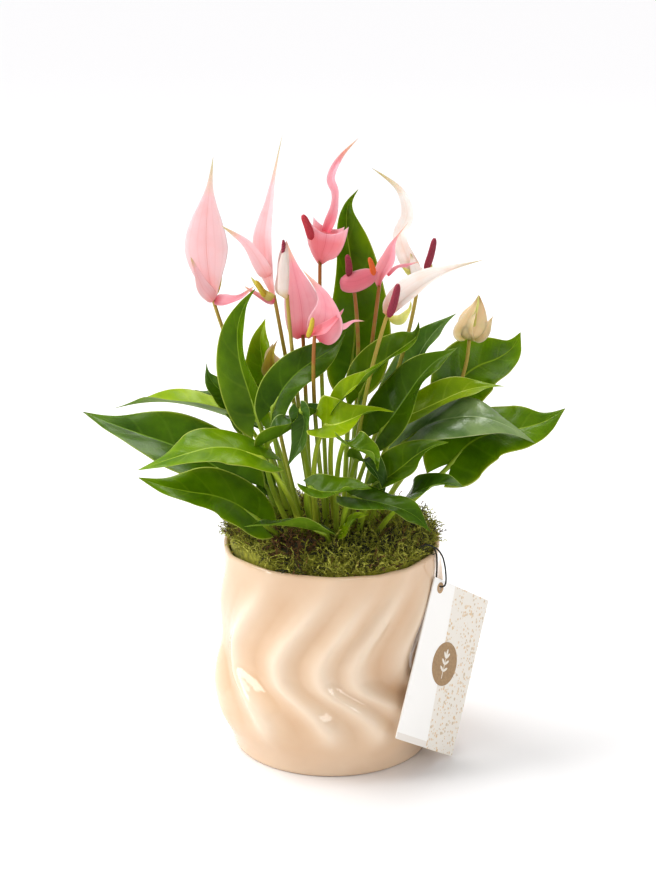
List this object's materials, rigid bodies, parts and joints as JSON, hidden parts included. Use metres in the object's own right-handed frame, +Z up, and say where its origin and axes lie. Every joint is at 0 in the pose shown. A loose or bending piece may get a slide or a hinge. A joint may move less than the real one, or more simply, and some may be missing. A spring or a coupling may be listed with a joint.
{
  "type": "potted anthurium",
  "caption": "Small flowering anthurium with heart-shaped leaves and pink and cream spathes, in a peach glazed pot with folded flutes, moss round its crown and a card label on a cord",
  "frame": {"origin": "middle of the pot's flat base, on the surface it stands on", "axes": "+Z up along the pot's axis, -Y towards the front that the flowers face, +X to the right, where the label leans"},
  "size_m": [0.2922, 0.1557, 0.375],
  "materials": {
    "peach_glaze": "gloss",
    "potting_soil": "matte",
    "moss": "matte",
    "tag_card": "matte",
    "waxed_cord": "satin",
    "leaf_green": "satin",
    "leaf_dark": "satin",
    "leaf_young": "satin",
    "stem": "satin",
    "spathe_pink": "gloss",
    "spathe_coral": "gloss",
    "spathe_cream": "gloss",
    "spadix_red": "matte",
    "spadix_yellow": "matte",
    "bud_cream": "satin",
    "bud_green": "satin"
  },
  "bodies": {
    "root": {"cover_pot": "peach_glaze", "root_ball": "potting_soil", "moss_mat": "moss", "tag_card": "tag_card", "tag_cord": "waxed_cord", "leaf_01": "leaf_dark", "leaf_02": "leaf_young", "leaf_03": "leaf_young", "leaf_04": "leaf_green", "leaf_05": "leaf_dark", "leaf_06": "leaf_dark", "leaf_07": "leaf_green", "leaf_08": "leaf_young", "leaf_09": "leaf_green", "leaf_10": "leaf_green", "leaf_11": "leaf_green", "leaf_12": "leaf_young", "leaf_13": "leaf_green", "leaf_14": "leaf_dark", "leaf_15": "leaf_green", "leaf_16": "leaf_young", "leaf_17": "leaf_green", "leaf_18": "leaf_green", "leaf_19": "leaf_green", "leaf_20": "leaf_dark", "leaf_21": "leaf_dark", "leaf_22": "leaf_green", "leaf_23": "leaf_young", "leaf_24": "leaf_green", "flower_1_stem": "stem", "flower_1_spathe": "spathe_pink", "flower_1_spadix": "spadix_red", "flower_2_stem": "stem", "flower_2_spathe": "spathe_cream", "flower_2_spadix": "spadix_yellow", "flower_3_stem": "stem", "flower_3_spathe": "spathe_cream", "flower_3_spadix": "spadix_red", "flower_4_stem": "stem", "flower_4_spathe": "spathe_pink", "flower_5_stem": "stem", "flower_5_spathe": "spathe_pink", "flower_5_spadix": "spadix_yellow", "flower_6_stem": "stem", "flower_6_spathe": "spathe_coral", "flower_6_spadix": "spadix_red", "flower_7_stem": "stem", "flower_7_spathe": "spathe_coral", "flower_7_spadix": "spadix_red", "flower_8_stem": "stem", "flower_8_spathe": "spathe_pink", "flower_8_spadix": "spadix_yellow", "flower_9_stem": "stem", "flower_9_spathe": "spathe_pink", "flower_9_spadix": "spadix_red", "flower_10_stem": "stem", "flower_10_spathe": "spathe_cream", "flower_10_spadix": "spadix_red", "bud_1": "bud_cream", "bud_2": "bud_green"}
  },
  "joints": []
}
